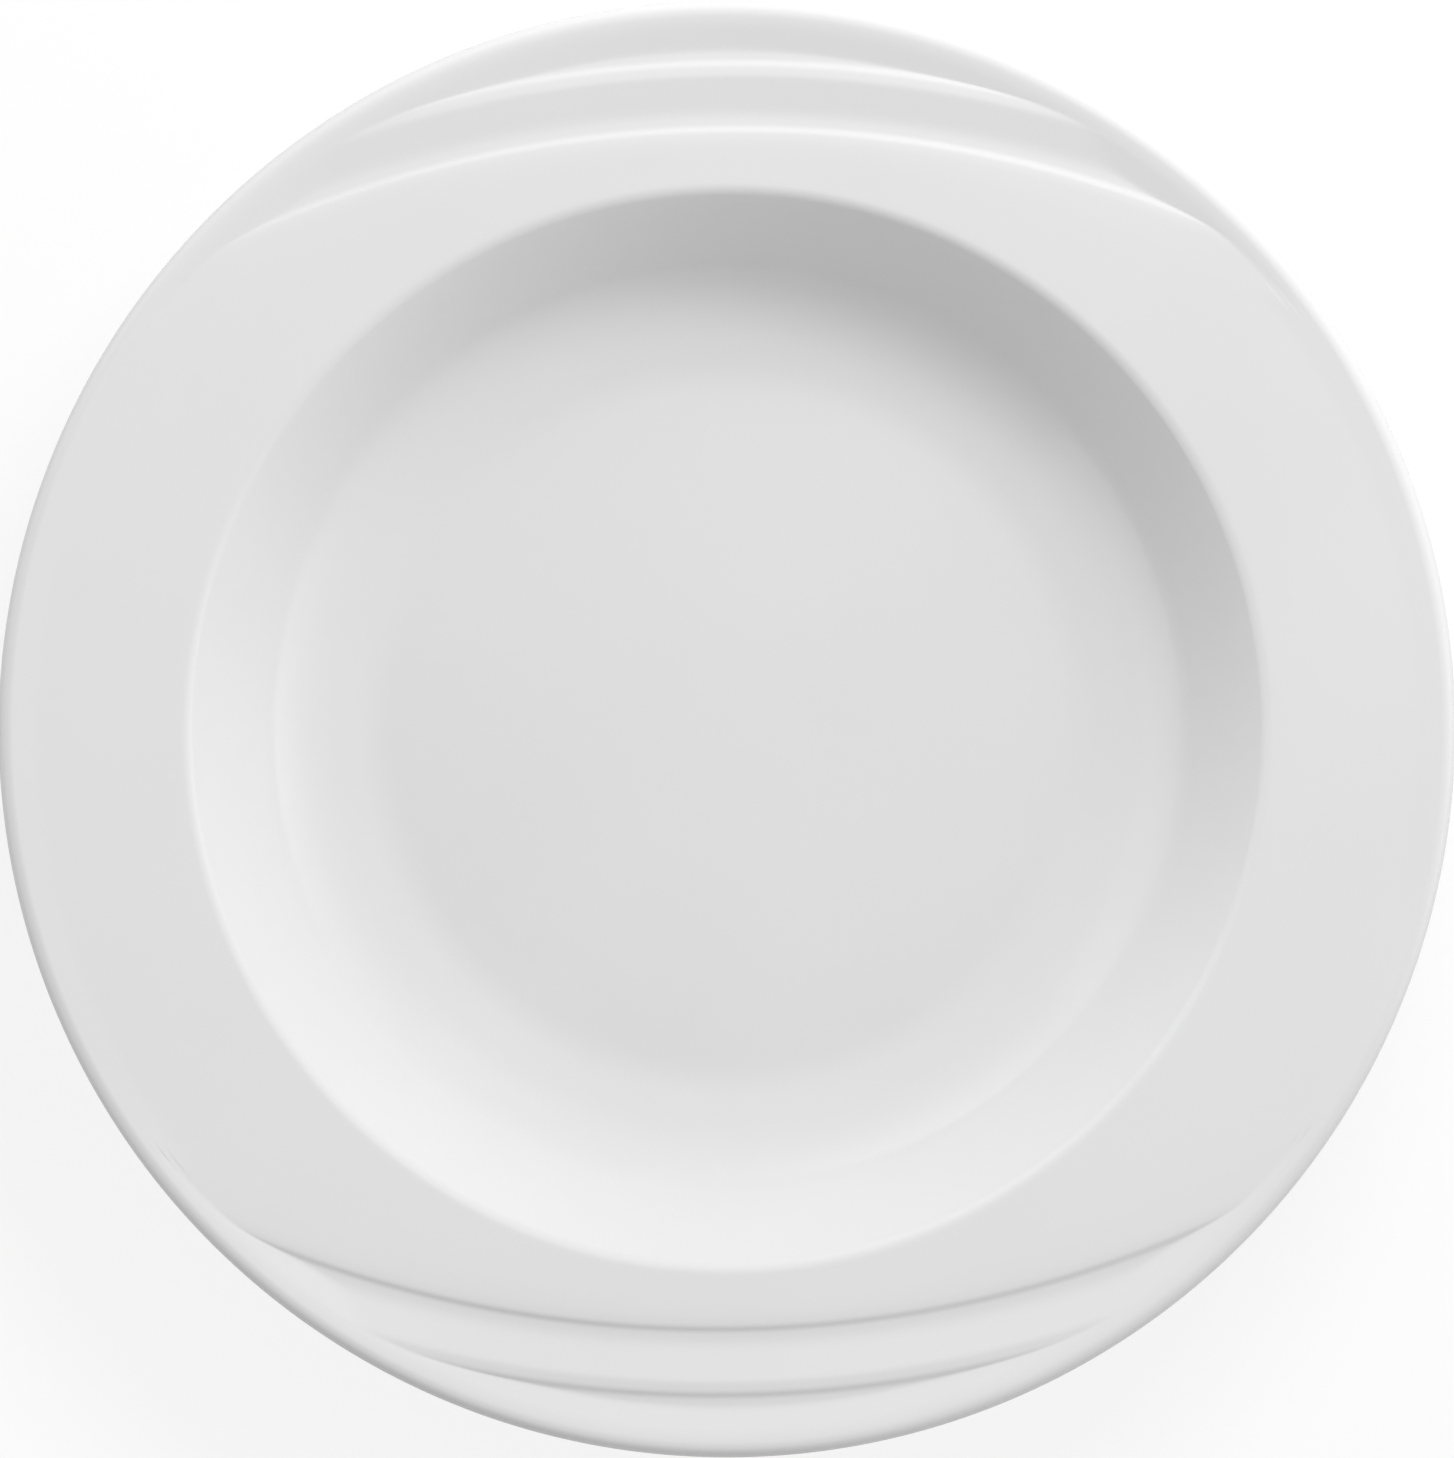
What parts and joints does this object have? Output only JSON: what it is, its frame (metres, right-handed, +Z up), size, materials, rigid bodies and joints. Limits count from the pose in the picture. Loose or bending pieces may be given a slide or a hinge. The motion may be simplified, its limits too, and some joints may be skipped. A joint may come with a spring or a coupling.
{
  "type": "rimmed soup plate",
  "caption": "Round rimmed soup plate in white glazed porcelain, with a deep well, a foot ring and scalloped coves at two sides of the rim.",
  "frame": {"origin": "centre of the foot ring's standing face, on the table", "axes": "+Z up out of the well, along the plate's axis. Y runs through the middle of both pairs of coves on the rim, X across them"},
  "size_m": [0.23, 0.23, 0.0385],
  "materials": {
    "bisque": "matte, fine unglazed porcelain",
    "glaze": "glossy clear glaze over white porcelain"
  },
  "bodies": {
    "root": {"porcelain_body": "bisque", "glaze_coat": "glaze", "recess_glaze": "glaze"}
  },
  "joints": []
}
